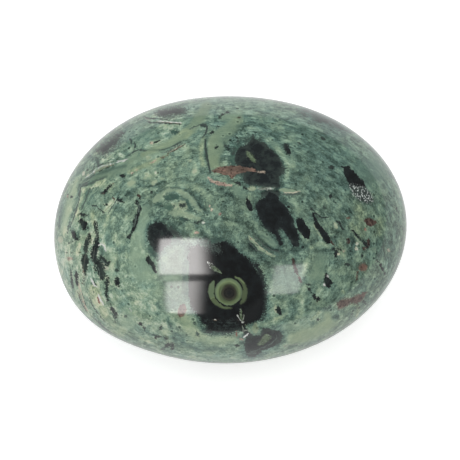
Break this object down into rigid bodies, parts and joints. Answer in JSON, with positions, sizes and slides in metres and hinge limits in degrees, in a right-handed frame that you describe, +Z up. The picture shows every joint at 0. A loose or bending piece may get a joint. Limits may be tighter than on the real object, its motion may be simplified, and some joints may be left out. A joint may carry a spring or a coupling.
{
  "type": "palm stone",
  "caption": "Polished oval palm stone of dark-eyed green kambaba jasper: a low, slightly lopsided pebble with a small flat underneath.",
  "frame": {"origin": "on the surface the stone rests on, under the centre of its outline", "axes": "+X along the stone's length, +Y across it, +Z up from the face it rests on"},
  "size_m": [0.0622, 0.0482, 0.0342],
  "materials": {
    "kambaba_jasper": "polished to a gloss, mottled grey-green with near-black orbs, olive rings and rusty specks"
  },
  "bodies": {
    "root": {"kambaba_stone": "kambaba_jasper"}
  },
  "joints": []
}
